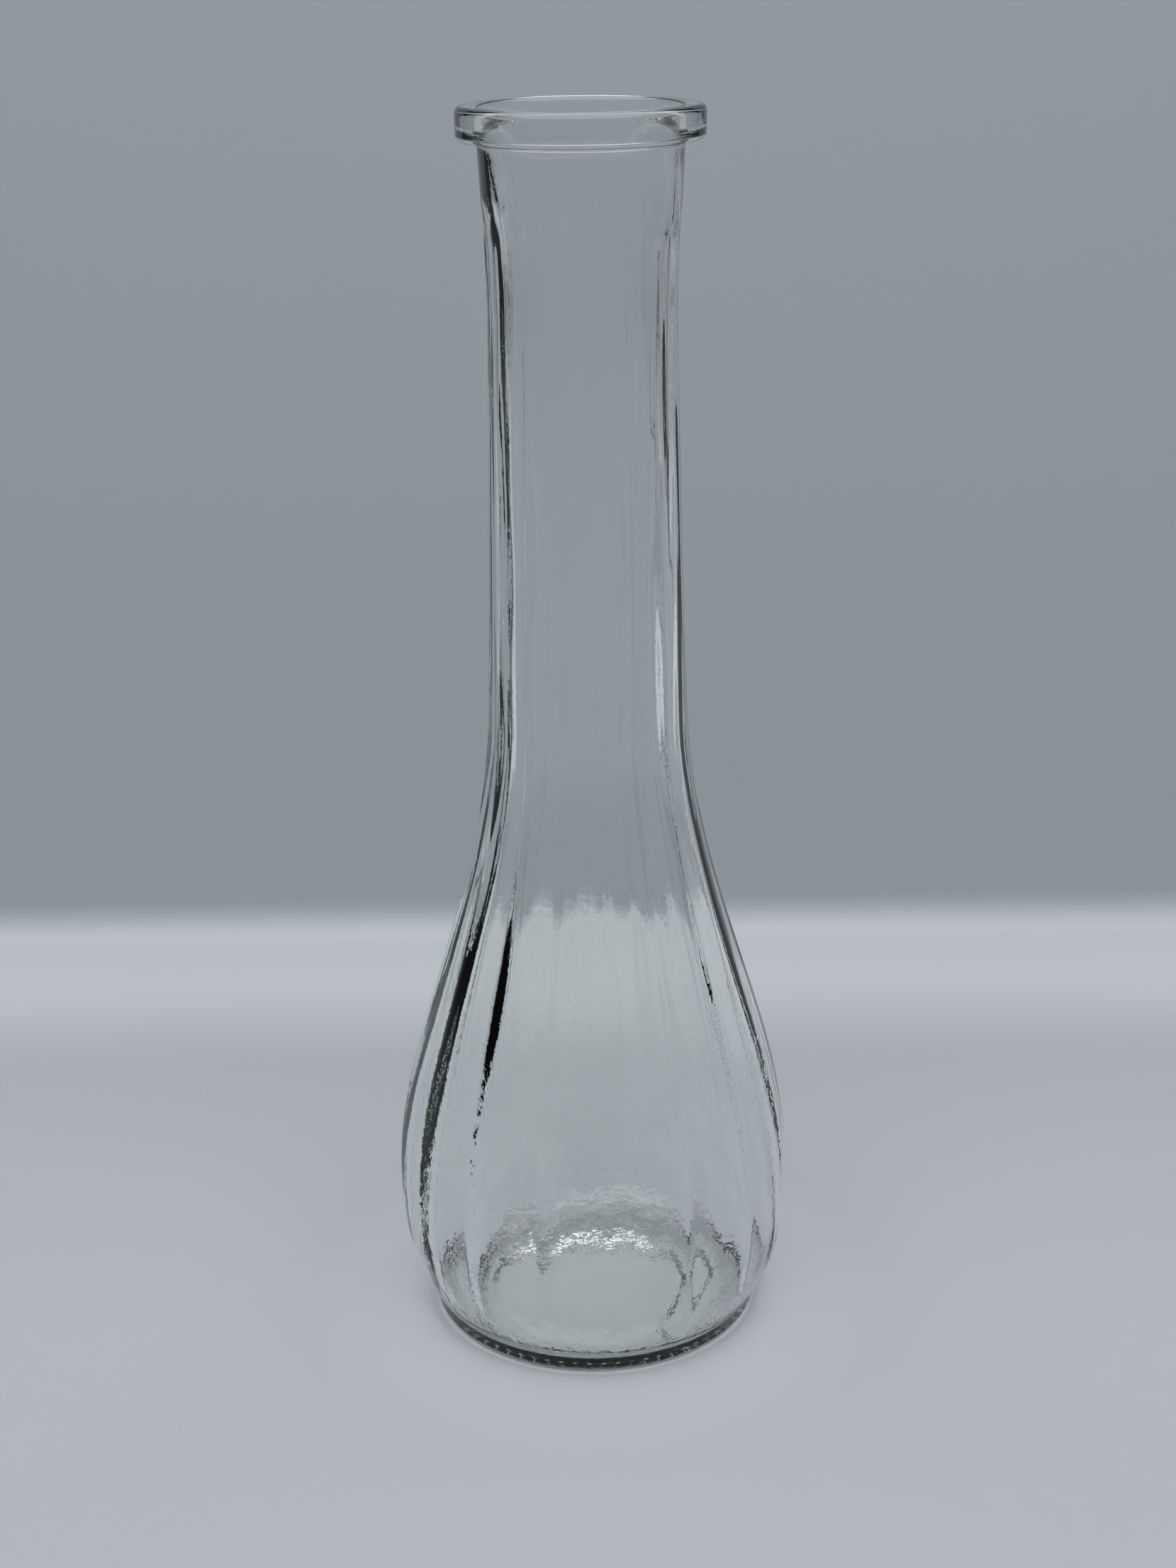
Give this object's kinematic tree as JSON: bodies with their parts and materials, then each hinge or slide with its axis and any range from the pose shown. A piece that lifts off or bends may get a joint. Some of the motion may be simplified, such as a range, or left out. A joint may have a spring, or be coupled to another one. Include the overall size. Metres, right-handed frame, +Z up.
{
  "type": "glass bud vase",
  "caption": "Clear pressed-glass bud vase: banded rim, long narrow neck and a bulb with sixteen soft panels, on a low round foot.",
  "frame": {"origin": "centre of the foot, on the surface that the vase stands on", "axes": "+Z up along the vase's axis; the camera of the source view looks roughly along +Y"},
  "size_m": [0.0752, 0.0752, 0.2286],
  "materials": {
    "glass": "clear soda-lime glass with a faint green tint, fire-polished, with soft mould waviness"
  },
  "bodies": {
    "root": {"rim_collar": "glass", "neck": "glass", "shoulder": "glass", "bulb": "glass", "foot": "glass"}
  },
  "joints": []
}
